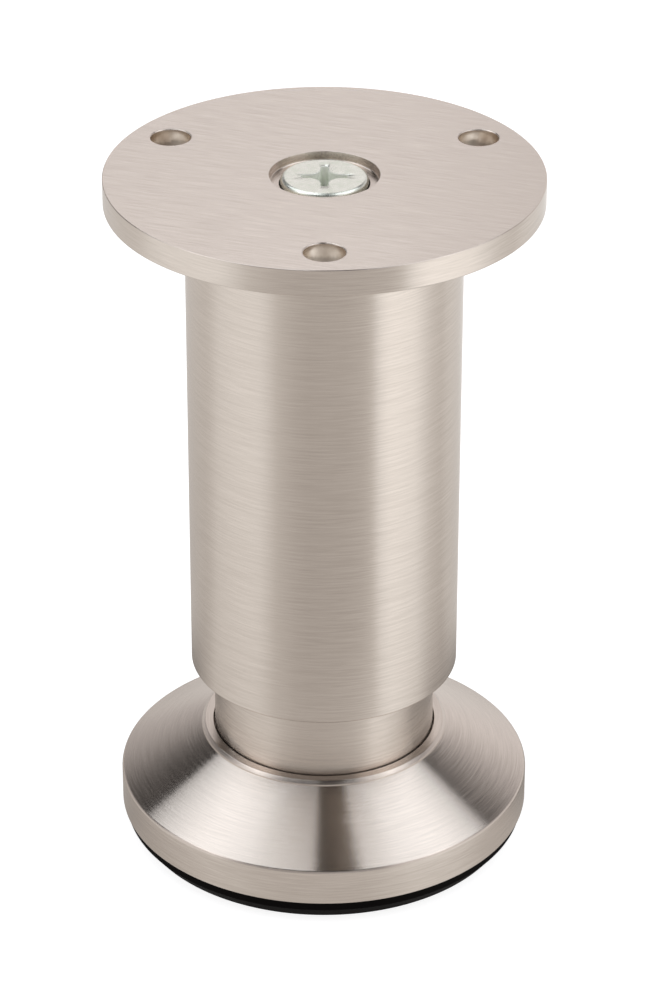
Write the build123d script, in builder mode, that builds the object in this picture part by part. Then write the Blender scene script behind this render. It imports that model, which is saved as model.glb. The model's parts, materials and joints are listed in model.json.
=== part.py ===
from build123d import *
import os
from math import cos, radians, sin, tan

# Adjustable furniture leg. Millimetres, +Z up, origin on the floor on the leg's axis.
# The leg is modelled with its foot partly turned out, so that a band of the sleeve shows.

# Mounting plate
plate_d = 80.0
plate_thickness = 5.0
plate_edge = 0.4
fixing_hole_d = 7.4
fixing_hole_margin = 3.7
fixing_hole_count = 3
fixing_first_angle = 30.0
fixing_hole_edge = 0.25
recess_d = 20.0
recess_depth = 1.7
recess_corner = 0.35
spigot_height = 6.0
spigot_wall = 3.0
screw_boss_d = 26.0
spigot_clearance = 0.1

# Plate screw, a machine screw with a cross recess
screw_d = 8.0
screw_length = 20.0
screw_head_d = 16.0
screw_head_height = 6.0
screw_head_round = 0.6
screw_head_drop = 0.4
screw_hole_clearance = 0.5
screw_head_clearance = 0.2
cross_span = 8.7
cross_slot = 1.45
cross_depth = 4.2
cross_core_d = 4.8
cross_flank_angle = 13.25
cross_slot_angle = 3.0

# Leg tube and the pressed cups inside it
tube_d = 50.8
tube_wall = 1.5
tube_length = 95.6
tube_edge = 0.3
cup_thickness = 2.5
cup_skirt_height = 7.0
cup_wall = 2.0
cup_bend = 2.0
cup_clearance = 0.05
top_cup_gap = 0.3

# Hexagon nuts and the threads, which are plain cylinders here
small_nut_across = 13.0
small_nut_height = 6.8
large_nut_across = 16.0
large_nut_height = 8.4
hexagon_chamfer_angle = 30.0
hexagon_turned_share = 0.95
thread_clearance = 0.05

# Sleeve and the bush that guides it
sleeve_wall = 1.5
sleeve_edge = 0.3
sleeve_floor_thickness = 1.5
sleeve_floor_hole_d = 24.0
bush_wall = 2.7
bush_length = 20.0
bush_inset = 0.6
bush_lead_in = 0.5
bush_seat_clearance = 0.05
bush_running_clearance = 0.08

# Foot
rim_d = 78.6
rim_height = 7.2
rim_wall = 2.8
rim_edge = 0.6
cone_height = 8.9
cone_wall = 2.8
collar_wall = 2.24
collar_height = 0.9
collar_edge = 0.25
socket_depth = 3.0
socket_floor_thickness = 3.0
socket_clearance = 0.3
hub_d = 26.0
hub_floor_thickness = 5.0
foot_rib_count = 6
foot_rib_thickness = 2.2
casting_corner = 0.8

# Spindle and what clamps it to the foot
spindle_d = 10.0
spindle_head_height = 6.4
spindle_end_chamfer = 1.0
hexagon_pocket_clearance = 0.15
turning_gap = 0.1
clamp_washer_d = 30.0
clamp_washer_thickness = 2.5

# Pad under the foot
pad_drop = 4.4
pad_insert_height = 2.0
pad_clearance = 0.1
pad_flange_d = 77.2
pad_floor_d = 73.1
pad_taper_height = 2.6
pad_edge = 0.3
pad_hollow_d = 54.0
pad_hollow_depth = 1.2

# Height adjustment: the foot's whole travel, how far it is turned out now, the gap that is left
# when it is turned right in, and what sleeve, carrier and spindle need past the ends of the travel
adjustment = 20.0
shown_extension = 14.3
closed_gap = 0.5
sleeve_overrun = 3.0
carrier_gap = 2.4
spindle_overrun = 5.5

# Heights above the floor
rim_bottom = pad_drop
rim_top = rim_bottom + rim_height
cone_top = rim_top + cone_height
collar_top = cone_top + collar_height
socket_floor = collar_top - socket_depth
spindle_seat = socket_floor - hub_floor_thickness
pad_top = pad_drop + pad_insert_height
tube_bottom = collar_top + shown_extension
tube_top = tube_bottom + tube_length
plate_top = tube_top + plate_thickness
recess_floor = plate_top - recess_depth
screw_head_top = plate_top - screw_head_drop
screw_seat = screw_head_top - screw_head_height
spigot_bottom = tube_top - spigot_height
top_cup_face = spigot_bottom - top_cup_gap - cup_skirt_height
sleeve_bottom = socket_floor + turning_gap
thrust_bush_height = sleeve_floor_thickness + 2 * turning_gap
washer_bottom = socket_floor + thrust_bush_height
lock_nut_bottom = washer_bottom + clamp_washer_thickness

travel_in = shown_extension - closed_gap
travel_out = adjustment - travel_in
bush_bottom = tube_bottom + bush_inset
sleeve_top = bush_bottom + bush_length + travel_out + sleeve_overrun
carrier_face = sleeve_top + travel_in + carrier_gap
spindle_top = carrier_face + travel_out + spindle_overrun

# Diameters and radii that follow from the fits
fixing_circle_d = plate_d - fixing_hole_d - 2 * fixing_hole_margin
tube_bore_r = tube_d / 2 - tube_wall
bush_r = tube_bore_r - bush_seat_clearance
sleeve_r = bush_r - bush_wall - bush_running_clearance
spigot_r = tube_bore_r - spigot_clearance
cup_r = tube_bore_r - cup_clearance
socket_r = sleeve_r + socket_clearance
collar_r = socket_r + collar_wall
pad_recess_r = rim_d / 2 - rim_wall
screw_bore_d = screw_d + 2 * thread_clearance
spindle_bore_d = spindle_d + 2 * thread_clearance

# How near to a height an edge lies to be found there
height_tolerance = 0.001

os.makedirs("parts", exist_ok=True)


def save(name, part):
    """Label one finished piece and write it to its own file."""
    part.label = name
    export_step(part, f"parts/{name}.step")


def corner(section, radius, height):
    """Return the vertex of a revolved section that lies nearest to a radius and a height."""
    return section.vertices().sort_by_distance((radius, height))[0]


def rings(piece, height):
    """Return the circular edges of a piece that lie at one height, the widest last."""
    low = height - height_tolerance
    high = height + height_tolerance
    edges = piece.edges().filter_by(GeomType.CIRCLE).filter_by_position(Axis.Z, low, high)
    return edges.sort_by(SortBy.RADIUS)


def chamfered_hexagon(across, bottom, height, top_turned):
    """Make a hexagon prism whose lower corners, and upper ones where asked, are turned off."""
    top = bottom + height
    corner_r = across / 2 / cos(radians(30))
    turned_r = hexagon_turned_share * across / 2
    drop = (corner_r - turned_r) * tan(radians(hexagon_chamfer_angle))
    upper_points = [(corner_r, top - drop), (turned_r, top)] if top_turned else [(corner_r, top)]
    with BuildPart() as hexagon:
        with BuildSketch(Plane.XY.offset(bottom)):
            RegularPolygon(across / 2, 6, major_radius=False)
        extrude(amount=height)
        with BuildSketch(Plane.XZ):
            with BuildLine():
                lower_points = [(0, bottom), (turned_r, bottom), (corner_r, bottom + drop)]
                Polyline(*lower_points, *upper_points, (0, top), close=True)
            make_face()
        revolve(axis=Axis.Z, mode=Mode.INTERSECT)
    return hexagon.part


def hexagon_nut(across, height, bore_d, top):
    """Make a nut that hangs below a height, with its bore chamfered at both faces."""
    bottom = top - height
    with BuildPart() as nut:
        add(chamfered_hexagon(across, bottom, height, top_turned=True))
        with Locations((0, 0, top)):
            Hole(bore_d / 2)
        chamfer([rings(nut, bottom)[0], rings(nut, top)[0]], length=bore_d / 20)
    return nut.part


def pressed_cup(face, hole_d):
    """Make a cup pressed from sheet that sits in the tube's bore, skirt upwards from its face.

    Its bend is drawn as a chamfer outside and a smaller one inside.
    """
    floor_top = face + cup_thickness
    skirt_top = face + cup_skirt_height
    with BuildPart() as cup:
        with BuildSketch(Plane.XZ) as section:
            with BuildLine():
                Polyline(
                    (hole_d / 2, face),
                    (cup_r, face),
                    (cup_r, skirt_top),
                    (cup_r - cup_wall, skirt_top),
                    (cup_r - cup_wall, floor_top),
                    (hole_d / 2, floor_top),
                    close=True,
                )
            make_face()
            chamfer(corner(section, cup_r, face), length=cup_bend)
            chamfer(corner(section, cup_r - cup_wall, floor_top), length=cup_bend / 2)
        revolve(axis=Axis.Z)
    return cup.part


# Mounting plate: a cast disc with a stepped centre recess. Its spigot centres the tube, and a boss
# inside the spigot takes the screw head.
with BuildPart() as mounting_plate:
    with BuildSketch(Plane.XY.offset(tube_top)):
        Circle(plate_d / 2)
    extrude(amount=plate_thickness)
    chamfer(rings(mounting_plate, plate_top)[-1], length=plate_edge)
    chamfer(rings(mounting_plate, tube_top)[-1], length=plate_edge)
    with BuildSketch(Plane.XY.offset(spigot_bottom)):
        Circle(spigot_r)
        Circle(spigot_r - spigot_wall, mode=Mode.SUBTRACT)
        Circle(screw_boss_d / 2)
    extrude(amount=spigot_height)
    with BuildSketch(Plane.XY.offset(recess_floor)):
        Circle(recess_d / 2)
    extrude(amount=recess_depth, mode=Mode.SUBTRACT)
    with BuildSketch(Plane.XY.offset(screw_seat)):
        Circle(screw_head_d / 2 + screw_head_clearance)
    extrude(amount=recess_floor - screw_seat, mode=Mode.SUBTRACT)
    with BuildSketch(Plane.XY.offset(spigot_bottom)):
        Circle(screw_d / 2 + screw_hole_clearance)
    extrude(amount=screw_seat - spigot_bottom, mode=Mode.SUBTRACT)
    chamfer(rings(mounting_plate, recess_floor)[-1], length=recess_corner)
    with BuildSketch(Plane.XY.offset(tube_top)):
        with PolarLocations(fixing_circle_d / 2, fixing_hole_count, start_angle=fixing_first_angle):
            Circle(fixing_hole_d / 2)
    extrude(amount=plate_thickness, mode=Mode.SUBTRACT)
    fixing_edges = rings(mounting_plate, plate_top)[:fixing_hole_count]
    chamfer(fixing_edges, length=fixing_hole_edge)
save("mounting_plate", mounting_plate.part)

# Plate screw: a round head with a flat top and a rounded edge. Each wing of the cross recess
# narrows towards its floor, and a cone joins the four wings.
with BuildPart() as plate_screw:
    with BuildSketch(Plane.XY.offset(screw_seat)):
        Circle(screw_head_d / 2)
    extrude(amount=screw_head_height)
    fillet(rings(plate_screw, screw_head_top)[-1], radius=screw_head_round)
    with BuildSketch(Plane.XY.offset(screw_seat - screw_length)):
        Circle(screw_d / 2)
    extrude(amount=screw_length)
    chamfer(rings(plate_screw, screw_seat - screw_length)[-1], length=screw_d / 10)
    cross_floor = screw_head_top - cross_depth
    flank_inset = 2 * cross_depth * tan(radians(cross_flank_angle))
    slot_inset = 2 * cross_depth * tan(radians(cross_slot_angle))
    for turn in (0, 90):
        with BuildSketch(Plane.XY.offset(screw_head_top)):
            Rectangle(cross_span, cross_slot, rotation=turn)
        with BuildSketch(Plane.XY.offset(cross_floor)):
            Rectangle(cross_span - flank_inset, cross_slot - slot_inset, rotation=turn)
        loft(mode=Mode.SUBTRACT)
    with BuildSketch(Plane.XY.offset(screw_head_top)):
        Circle(cross_core_d / 2)
    with BuildSketch(Plane.XY.offset(cross_floor)):
        Circle((cross_core_d - flank_inset) / 2)
    loft(mode=Mode.SUBTRACT)
save("plate_screw", plate_screw.part)

# Leg tube
with BuildPart() as leg_tube:
    with BuildSketch(Plane.XY.offset(tube_bottom)):
        Circle(tube_d / 2)
        Circle(tube_bore_r, mode=Mode.SUBTRACT)
    extrude(amount=tube_length)
    chamfer(rings(leg_tube, tube_bottom), length=tube_edge)
save("leg_tube", leg_tube.part)

# Pressed cups and welded nuts inside the tube
top_insert = pressed_cup(top_cup_face, screw_d + 2 * screw_hole_clearance)
save("top_insert", top_insert)
plate_nut = hexagon_nut(small_nut_across, small_nut_height, screw_bore_d, top_cup_face)
save("plate_nut", plate_nut)
nut_carrier = pressed_cup(carrier_face, spindle_d + 2 * screw_hole_clearance)
save("nut_carrier", nut_carrier)
spindle_nut = hexagon_nut(large_nut_across, large_nut_height, spindle_bore_d, carrier_face)
save("spindle_nut", spindle_nut)

# Guide bush at the tube's lower end
with BuildPart() as guide_bush:
    with BuildSketch(Plane.XY.offset(bush_bottom)):
        Circle(bush_r)
        Circle(bush_r - bush_wall, mode=Mode.SUBTRACT)
    extrude(amount=bush_length)
    lower_lead_in = rings(guide_bush, bush_bottom)[0]
    upper_lead_in = rings(guide_bush, bush_bottom + bush_length)[0]
    chamfer([lower_lead_in, upper_lead_in], length=bush_lead_in)
save("guide_bush", guide_bush.part)

# Sleeve: a drawn tube whose floor is turned inwards and rests in the foot's socket
with BuildPart() as sleeve:
    with BuildSketch(Plane.XY.offset(sleeve_bottom)):
        Circle(sleeve_r)
        Circle(sleeve_floor_hole_d / 2, mode=Mode.SUBTRACT)
    extrude(amount=sleeve_top - sleeve_bottom)
    with BuildSketch(Plane.XY.offset(sleeve_bottom + sleeve_floor_thickness)):
        Circle(sleeve_r - sleeve_wall)
    extrude(amount=sleeve_top - sleeve_bottom - sleeve_floor_thickness, mode=Mode.SUBTRACT)
    chamfer(rings(sleeve, sleeve_top)[-1], length=sleeve_edge)
    chamfer(rings(sleeve, sleeve_bottom)[-1], length=sleeve_edge)
save("sleeve", sleeve.part)

# Foot: a hollow casting. Outside it is an upright rim, a cone and a low collar. Inside it has the
# sleeve's socket, a hub with a hexagon pocket for the spindle's head, and radial ribs.
cone_slope = cone_height / (rim_d / 2 - collar_r)
cone_wall_drop = cone_wall * (1 + cone_slope**2) ** 0.5
hollow_top = socket_floor - socket_floor_thickness
hollow_break_r = collar_r + (cone_top - cone_wall_drop - hollow_top) / cone_slope
hollow_edge = cone_top - cone_wall_drop - (pad_recess_r - collar_r) * cone_slope
with BuildPart() as foot_flange:
    with BuildSketch(Plane.XZ) as foot_section:
        with BuildLine():
            Polyline(
                (rim_d / 2, rim_bottom),
                (rim_d / 2, rim_top),
                (collar_r, cone_top),
                (collar_r, collar_top),
                (socket_r, collar_top),
                (socket_r, socket_floor),
                (spindle_bore_d / 2, socket_floor),
                (spindle_bore_d / 2, pad_top),
                (hub_d / 2, pad_top),
                (hub_d / 2, hollow_top),
                (hollow_break_r, hollow_top),
                (pad_recess_r, hollow_edge),
                (pad_recess_r, rim_bottom),
                close=True,
            )
        make_face()
        fillet(corner(foot_section, rim_d / 2, rim_top), radius=rim_edge)
        chamfer(corner(foot_section, rim_d / 2, rim_bottom), length=rim_edge / 2)
        chamfer(corner(foot_section, collar_r, collar_top), length=collar_edge)
        chamfer(corner(foot_section, hub_d / 2, hollow_top), length=casting_corner)
        chamfer(corner(foot_section, pad_recess_r, hollow_edge), length=casting_corner)
    revolve(axis=Axis.Z)
    rib_overlap = cone_wall / 2
    for rib in range(foot_rib_count):
        angle = radians(rib * 360 / foot_rib_count)
        rib_plane = Plane((0, 0, 0), x_dir=(cos(angle), sin(angle), 0), z_dir=(sin(angle), -cos(angle), 0))
        with BuildSketch(rib_plane):
            with BuildLine():
                Polyline(
                    (hub_d / 2 - rib_overlap, pad_top),
                    (pad_recess_r + rib_overlap, pad_top),
                    (pad_recess_r + rib_overlap, hollow_edge),
                    (hollow_break_r, hollow_top + rib_overlap),
                    (hub_d / 2 - rib_overlap, hollow_top + rib_overlap),
                    close=True,
                )
            make_face()
        extrude(amount=foot_rib_thickness / 2, both=True)
    with BuildSketch(Plane.XY.offset(pad_top)):
        RegularPolygon(large_nut_across / 2 + hexagon_pocket_clearance, 6, major_radius=False)
    extrude(amount=spindle_seat - pad_top, mode=Mode.SUBTRACT)
save("foot_flange", foot_flange.part)

# Spindle: a hexagon-headed rod that stands head down in the foot's hub
with BuildPart() as spindle:
    head_bottom = spindle_seat - spindle_head_height
    add(chamfered_hexagon(large_nut_across, head_bottom, spindle_head_height, top_turned=False))
    with BuildSketch(Plane.XY.offset(spindle_seat)):
        Circle(spindle_d / 2)
    extrude(amount=spindle_top - spindle_seat)
    chamfer(rings(spindle, spindle_top)[-1], length=spindle_end_chamfer)
save("spindle", spindle.part)

# Thrust bush, on which the sleeve's floor turns
with BuildPart() as thrust_bush:
    with BuildSketch(Plane.XY.offset(socket_floor)):
        Circle(sleeve_floor_hole_d / 2 - turning_gap)
        Circle(spindle_bore_d / 2, mode=Mode.SUBTRACT)
    extrude(amount=thrust_bush_height)
save("thrust_bush", thrust_bush.part)

# Clamp washer, which keeps the sleeve's floor down
with BuildPart() as clamp_washer:
    with BuildSketch(Plane.XY.offset(washer_bottom)):
        Circle(clamp_washer_d / 2)
        Circle(spindle_bore_d / 2, mode=Mode.SUBTRACT)
    extrude(amount=clamp_washer_thickness)
save("clamp_washer", clamp_washer.part)

# Lock nut on the spindle
lock_nut = hexagon_nut(
    large_nut_across, large_nut_height, spindle_bore_d, lock_nut_bottom + large_nut_height
)
save("lock_nut", lock_nut)

# Pad: a disc that plugs the foot's hollow. Its flange lies against the rim from below and tapers
# to the floor, where it is hollowed.
with BuildPart() as foot_pad:
    with BuildSketch(Plane.XZ) as pad_section:
        with BuildLine():
            Polyline(
                (0, pad_hollow_depth),
                (pad_hollow_d / 2, pad_hollow_depth),
                (pad_hollow_d / 2, 0),
                (pad_floor_d / 2, 0),
                (pad_flange_d / 2, pad_taper_height),
                (pad_flange_d / 2, pad_drop),
                (pad_recess_r - pad_clearance, pad_drop),
                (pad_recess_r - pad_clearance, pad_top),
                (0, pad_top),
                close=True,
            )
        make_face()
        chamfer(corner(pad_section, pad_floor_d / 2, 0), length=pad_edge)
    revolve(axis=Axis.Z)
save("foot_pad", foot_pad.part)
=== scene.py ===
"""Adjustable furniture leg: fine shapes, finishes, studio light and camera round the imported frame."""

import json
import logging
import math
from collections.abc import Iterator, Sequence
from dataclasses import dataclass, field
from enum import Enum
from typing import Any, Protocol

import bpy
from bpy.types import Material, Mesh, Node, NodeSocket, NodeTree, Object
from mathutils import Matrix, Vector


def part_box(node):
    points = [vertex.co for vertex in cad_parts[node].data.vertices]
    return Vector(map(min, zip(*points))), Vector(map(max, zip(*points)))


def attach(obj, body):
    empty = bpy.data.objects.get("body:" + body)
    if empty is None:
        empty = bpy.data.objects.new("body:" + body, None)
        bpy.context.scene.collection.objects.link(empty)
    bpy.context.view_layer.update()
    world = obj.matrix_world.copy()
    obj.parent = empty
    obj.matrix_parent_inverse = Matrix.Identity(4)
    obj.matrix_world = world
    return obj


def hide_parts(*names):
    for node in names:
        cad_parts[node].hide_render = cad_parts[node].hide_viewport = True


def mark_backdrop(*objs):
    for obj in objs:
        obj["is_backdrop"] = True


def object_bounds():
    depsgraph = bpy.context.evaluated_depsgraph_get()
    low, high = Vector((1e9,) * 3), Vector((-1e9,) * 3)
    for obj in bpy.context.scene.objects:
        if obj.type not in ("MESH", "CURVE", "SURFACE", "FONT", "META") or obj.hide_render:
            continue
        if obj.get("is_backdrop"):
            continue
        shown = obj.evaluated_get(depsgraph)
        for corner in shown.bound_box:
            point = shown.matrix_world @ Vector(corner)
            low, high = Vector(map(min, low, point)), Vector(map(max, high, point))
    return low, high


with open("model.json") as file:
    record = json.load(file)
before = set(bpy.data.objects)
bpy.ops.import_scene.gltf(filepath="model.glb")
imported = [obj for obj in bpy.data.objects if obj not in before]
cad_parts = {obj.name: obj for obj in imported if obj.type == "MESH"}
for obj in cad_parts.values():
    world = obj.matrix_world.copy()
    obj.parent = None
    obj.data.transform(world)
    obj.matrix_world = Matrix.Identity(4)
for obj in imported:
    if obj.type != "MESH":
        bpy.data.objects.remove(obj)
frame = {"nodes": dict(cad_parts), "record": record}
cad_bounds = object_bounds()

logging.basicConfig(level=logging.INFO, format="%(message)s")
log = logging.getLogger("furniture_leg")

MM = 0.001
"""One millimetre in metres."""

"""Where the frame's box and the dressed leg's box are written."""

TURN_SEGMENTS = 256
"""Flats round a turned piece."""

DRILL_SEGMENTS = 96
"""Flats round a drilled hole."""

ROUND_STEPS = 5
"""Straight steps in each rounded corner of a section."""

Outline = list[tuple[float, float, int]]
"""Points of a section: radius, height and the finish of the face that follows."""

Stops = tuple[tuple[float, float], ...]
"""Stops of a ramp: an angle in degrees, or a length in millimetres, and the value there."""


# Colour and node helpers


def linear(colour: str) -> tuple[float, float, float, float]:
    """Turn an sRGB hex colour into the linear colour that a socket takes.

    Args:
        colour: Hex text such as "#E2D6CB".

    Returns:
        Linear red, green, blue and an alpha of one.
    """
    shares = (int(colour[start:start + 2], 16) / 255 for start in (1, 3, 5))
    red, green, blue = (
        share / 12.92 if share <= 0.04045 else ((share + 0.055) / 1.055) ** 2.4 for share in shares
    )
    return (red, green, blue, 1.0)


def add_node(
    tree: NodeTree,
    kind: str,
    inputs: dict[str | int, Any] | None = None,
    **settings: Any,
) -> Node:
    """Add a node with its settings, socket values and links.

    Args:
        tree: The node tree that takes the node.
        kind: The node's type, such as "ShaderNodeMath".
        inputs: A value or an output socket for each named or numbered input.
        **settings: Properties of the node itself.

    Returns:
        The new node.
    """
    node = tree.nodes.new(kind)
    for name, value in settings.items():
        setattr(node, name, value)
    for name, value in (inputs or {}).items():
        if isinstance(value, NodeSocket):
            tree.links.new(value, node.inputs[name])
        else:
            node.inputs[name].default_value = value
    return node


def new_material(name: str) -> tuple[Material, NodeTree, Node]:
    """Make a material that holds only its output.

    Args:
        name: The material's name.

    Returns:
        The material, its node tree and its output node.
    """
    material = bpy.data.materials.new(name)
    material.use_nodes = True
    tree = material.node_tree
    tree.nodes.clear()
    return material, tree, add_node(tree, "ShaderNodeOutputMaterial")


def blend(
    tree: NodeTree,
    share: NodeSocket | float,
    without: NodeSocket | float,
    full: NodeSocket | float,
) -> NodeSocket:
    """Blend two values by a share.

    Args:
        tree: The node tree that takes the blend.
        share: The second value's share.
        without: The value at no share.
        full: The value at full share.

    Returns:
        The blend.
    """
    return add_node(tree, "ShaderNodeMix", {0: share, 2: without, 3: full}, data_type="FLOAT").outputs[0]


def ramp(tree: NodeTree, place: NodeSocket, stops: Stops, unit: float = math.radians(1.0)) -> NodeSocket:
    """Add a value that follows an angle or a length.

    Args:
        tree: The node tree that takes the ramp.
        place: The angle in radians, or the length in metres.
        stops: Place and value of each stop, lowest place first.
        unit: What one step of a stop's place is; a degree if nothing else is given.

    Returns:
        The value.
    """
    low = stops[0][0]
    high = stops[-1][0]
    share = add_node(tree, "ShaderNodeMapRange", {0: place, 1: low * unit, 2: high * unit, 3: 0.0, 4: 1.0})
    node = add_node(tree, "ShaderNodeValToRGB", {0: share.outputs[0]})
    elements = node.color_ramp.elements
    while len(elements) < len(stops):
        elements.new(0.5)
    for element, (stop, value) in zip(elements, stops):
        element.position = (stop - low) / (high - low)
        element.color = (value, value, value, 1.0)
    return node.outputs[0]


def azimuth_of(tree: NodeTree, way: NodeSocket) -> NodeSocket:
    """Add the azimuth of a direction or place, from the front towards the right.

    Args:
        tree: The node tree that takes the nodes.
        way: The direction or place.

    Returns:
        The azimuth in radians.
    """
    parts = add_node(tree, "ShaderNodeSeparateXYZ", {0: way})
    front = add_node(tree, "ShaderNodeMath", {0: parts.outputs[1], 1: -1.0}, operation="MULTIPLY")
    return add_node(
        tree, "ShaderNodeMath", {0: parts.outputs[0], 1: front.outputs[0]}, operation="ARCTAN2"
    ).outputs[0]


# Finishes


TONE_WINDOW = (0.35, 0.65)
"""Noise at which a surface's colour starts and stops changing."""

ROUGHNESS_WINDOW = (0.3, 0.7)
"""Noise at which a surface's roughness starts and stops changing."""


def varied(
    tree: NodeTree, noise: NodeSocket, colours: tuple[str, str], roughness: float, spread: float
) -> dict[str, NodeSocket]:
    """Let the colour and the roughness of a surface follow a noise.

    Args:
        tree: The material's nodes.
        noise: The noise, about 0.5 on average.
        colours: The hex colours at low and at high noise.
        roughness: The middle of the roughness.
        spread: How far the roughest is from the smoothest.

    Returns:
        The shader's base colour and roughness.
    """
    start, stop = TONE_WINDOW
    tone = add_node(tree, "ShaderNodeMapRange", {0: noise, 1: start, 2: stop, 3: 0.0, 4: 1.0})
    low, high = (linear(colour) for colour in colours)
    colour = add_node(tree, "ShaderNodeMix", {0: tone.outputs[0], 6: low, 7: high}, data_type="RGBA")
    start, stop = ROUGHNESS_WINDOW
    limits = {1: start, 2: stop, 3: roughness - spread / 2, 4: roughness + spread / 2}
    polish = add_node(tree, "ShaderNodeMapRange", {0: noise, **limits})
    return {"Base Color": colour.outputs[2], "Roughness": polish.outputs[0]}


class Brushing(Enum):
    """How a satin surface was brushed."""

    ROUND = "round"
    STRAIGHT = "straight"


class Finish(Protocol):
    """A surface finish that can be made into a material."""

    slot: str

    def material(self) -> Material:
        """Make the material."""


@dataclass(frozen=True)
class SatinNickel:
    """Satin nickel plate on brushed metal: warm grey, with long soft highlights across the lines."""

    brushing: Brushing
    slot: str = "satin_nickel"
    colour: str = "#E4DAD0"
    shade: str = "#D6CCC2"
    roughness: float = 0.22
    roughness_spread: float = 0.05
    anisotropy: float = 1.0
    # Real brushed lines are about 0.1 mm apart. They are drawn as coarse as they need to show.
    line_length: float = 8.0 * MM
    line_spacing: float = 0.27 * MM
    band_length: float = 26.0 * MM
    band_spacing: float = 1.3 * MM
    band_share: float = 0.15
    line_depth: float = 0.005 * MM
    lean: float = 0.026
    brush_angle: float = math.radians(-18.0)

    def material(self) -> Material:
        """Make the nickel, with lines that wander in colour, roughness and slope.

        Returns:
            The brushed material.
        """
        material, tree, output = new_material(f"satin_nickel_brushed_{self.brushing.value}")
        lines = self.streaks(tree, self.line_length, self.line_spacing)
        bands = self.streaks(tree, self.band_length, self.band_spacing)
        both = blend(tree, self.band_share, lines, bands)
        look = varied(tree, both, (self.shade, self.colour), self.roughness, self.roughness_spread)
        bump = add_node(
            tree, "ShaderNodeBump", {"Strength": 1.0, "Distance": self.line_depth, "Height": both}
        )
        sideways = add_node(tree, "ShaderNodeMath", {0: both, 1: 0.5}, operation="SUBTRACT")
        amount = add_node(
            tree, "ShaderNodeMath", {0: sideways.outputs[0], 1: self.lean}, operation="MULTIPLY"
        )
        along = self.line_direction(tree)
        tilt = add_node(
            tree, "ShaderNodeVectorMath", {0: along, "Scale": amount.outputs[0]}, operation="SCALE"
        )
        leant = add_node(
            tree, "ShaderNodeVectorMath", {0: bump.outputs[0], 1: tilt.outputs[0]}, operation="ADD"
        )
        normal = add_node(tree, "ShaderNodeVectorMath", {0: leant.outputs[0]}, operation="NORMALIZE")
        round_lines = self.brushing is Brushing.ROUND
        tangent = add_node(
            tree, "ShaderNodeTangent", direction_type="RADIAL", axis="Z" if round_lines else "X"
        )
        # The radial Z tangent runs along the lines and the radial X one across the plate, and the
        # highlight has to spread across the lines.
        turn = 0.25 if round_lines else 0.5 + self.brush_angle / math.tau
        shader = add_node(
            tree,
            "ShaderNodeBsdfPrincipled",
            {
                **look,
                "Metallic": 1.0,
                "Anisotropic": self.anisotropy,
                "Anisotropic Rotation": turn,
                "Tangent": tangent.outputs[0],
                "Normal": normal.outputs[0],
            },
        )
        tree.links.new(shader.outputs[0], output.inputs[0])
        return material

    def streaks(self, tree: NodeTree, length: float, spacing: float) -> NodeSocket:
        """Add noise that is long along the brushing and short across it.

        Args:
            tree: The material's nodes.
            length: Length of one streak along the brushing.
            spacing: Distance from streak to streak.

        Returns:
            The noise, about 0.5 on average.
        """
        place = add_node(tree, "ShaderNodeTexCoord").outputs["Object"]
        if self.brushing is Brushing.ROUND:
            flat = add_node(
                tree, "ShaderNodeVectorMath", {0: place, 1: (1.0, 1.0, 0.0)}, operation="MULTIPLY"
            )
            radius = add_node(tree, "ShaderNodeVectorMath", {0: flat.outputs[0]}, operation="LENGTH")
            height = add_node(tree, "ShaderNodeSeparateXYZ", {0: place})
            across = add_node(
                tree,
                "ShaderNodeMath",
                {0: height.outputs[2], 1: radius.outputs["Value"]},
                operation="SUBTRACT",
            )
            squeezed = add_node(
                tree,
                "ShaderNodeVectorMath",
                {0: flat.outputs[0], 1: (1 / length, 1 / length, 0.0)},
                operation="MULTIPLY",
            )
            rank = add_node(
                tree, "ShaderNodeMath", {0: across.outputs[0], 1: 1 / spacing}, operation="MULTIPLY"
            )
            raised = add_node(tree, "ShaderNodeCombineXYZ", {2: rank.outputs[0]})
            spot = add_node(
                tree,
                "ShaderNodeVectorMath",
                {0: squeezed.outputs[0], 1: raised.outputs[0]},
                operation="ADD",
            )
        else:
            along_axis = Vector((math.cos(self.brush_angle), math.sin(self.brush_angle), 0.0))
            across_axis = Vector((-along_axis.y, along_axis.x, 0.0))
            along = add_node(
                tree,
                "ShaderNodeVectorMath",
                {0: place, 1: tuple(along_axis / length)},
                operation="DOT_PRODUCT",
            )
            across = add_node(
                tree,
                "ShaderNodeVectorMath",
                {0: place, 1: tuple(across_axis / spacing)},
                operation="DOT_PRODUCT",
            )
            spot = add_node(
                tree,
                "ShaderNodeCombineXYZ",
                {0: along.outputs["Value"], 1: across.outputs["Value"]},
            )
        noise = add_node(
            tree,
            "ShaderNodeTexNoise",
            {"Vector": spot.outputs[0], "Scale": 1.0, "Detail": 3.0, "Roughness": 0.6},
        )
        return noise.outputs[0]

    def line_direction(self, tree: NodeTree) -> NodeSocket:
        """Add the direction in which the brushed lines run.

        Args:
            tree: The material's nodes.

        Returns:
            A vector output.
        """
        if self.brushing is Brushing.ROUND:
            return add_node(tree, "ShaderNodeTangent", direction_type="RADIAL", axis="Z").outputs[0]
        direction = {0: math.cos(self.brush_angle), 1: math.sin(self.brush_angle)}
        return add_node(tree, "ShaderNodeCombineXYZ", direction).outputs[0]


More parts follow.
